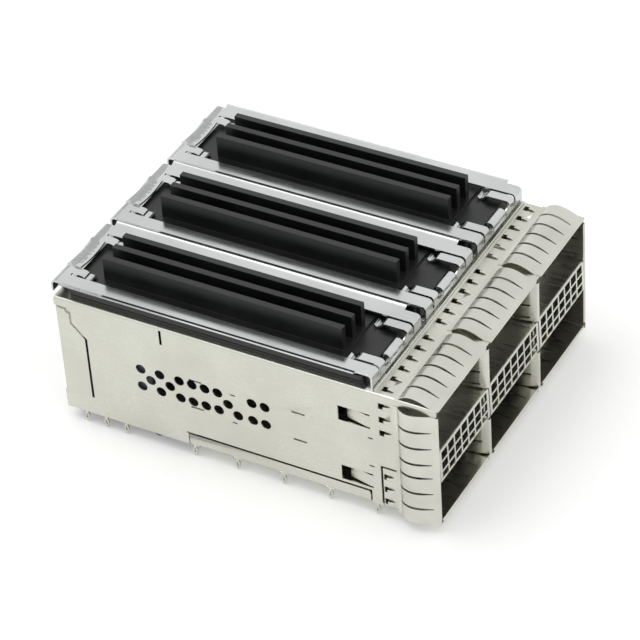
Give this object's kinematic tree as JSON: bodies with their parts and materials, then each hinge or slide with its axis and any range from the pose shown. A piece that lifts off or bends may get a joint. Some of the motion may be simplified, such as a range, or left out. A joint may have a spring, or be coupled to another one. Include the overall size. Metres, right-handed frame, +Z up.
{
  "type": "stacked pluggable-module cage",
  "caption": "Stacked sheet-metal cage for pluggable network modules, with sprung finned heat sinks, spring-finger collar, vented belly and press-fit pins.",
  "frame": {"origin": "middle of the object's box in plan, at the tips of the lowest pegs", "axes": "+X across the ports, to the right seen from the port face; +Y from the port face to the rear; +Z up from the circuit board"},
  "size_m": [0.062, 0.0766, 0.0349],
  "materials": {
    "sheet": "nickel-plated rolled sheet, satin",
    "spring_strip": "spring steel strip, bright satin",
    "clip": "spring stainless sheet, bright rolled",
    "heat_sink": "black anodised",
    "housing": "moulded",
    "contact": "gold-flashed strip"
  },
  "bodies": {
    "cage": {"cage_shell": "sheet", "bottom_cover": "sheet", "rear_cover": "sheet", "divider_left": "sheet", "divider_right": "sheet", "port_belly_left": "sheet", "port_belly_middle": "sheet", "port_belly_right": "sheet", "emi_strip_top_left": "spring_strip", "emi_strip_top_middle": "spring_strip", "emi_strip_top_right": "spring_strip", "emi_strip_bottom_left": "spring_strip", "emi_strip_bottom_middle": "spring_strip", "emi_strip_bottom_right": "spring_strip", "emi_strip_side_left": "spring_strip", "emi_strip_side_right": "spring_strip", "emi_strip_divider_left": "spring_strip", "emi_strip_divider_right": "spring_strip", "heat_sink_clip_left": "clip", "heat_sink_clip_middle": "clip", "heat_sink_clip_right": "clip", "connector_housing_left": "housing", "connector_housing_middle": "housing", "connector_housing_right": "housing", "contact_set_left": "contact", "contact_set_middle": "contact", "contact_set_right": "contact"},
    "sink_left": {"heat_sink_left": "heat_sink"},
    "sink_middle": {"heat_sink_middle": "heat_sink"},
    "sink_right": {"heat_sink_right": "heat_sink"}
  },
  "joints": [
    {"name": "ride_left", "type": "slide", "parent": "cage", "child": "sink_left", "axis": [0, 0, 1], "range_m": [0, 0.0004], "stiffness_N_per_m": 5000, "springref_m": -0.002, "deforming": ["heat_sink_clip_left"]},
    {"name": "ride_middle", "type": "slide", "parent": "cage", "child": "sink_middle", "axis": [0, 0, 1], "range_m": [0, 0.0004], "stiffness_N_per_m": 5000, "springref_m": -0.002, "deforming": ["heat_sink_clip_middle"]},
    {"name": "ride_right", "type": "slide", "parent": "cage", "child": "sink_right", "axis": [0, 0, 1], "range_m": [0, 0.0004], "stiffness_N_per_m": 5000, "springref_m": -0.002, "deforming": ["heat_sink_clip_right"]}
  ]
}
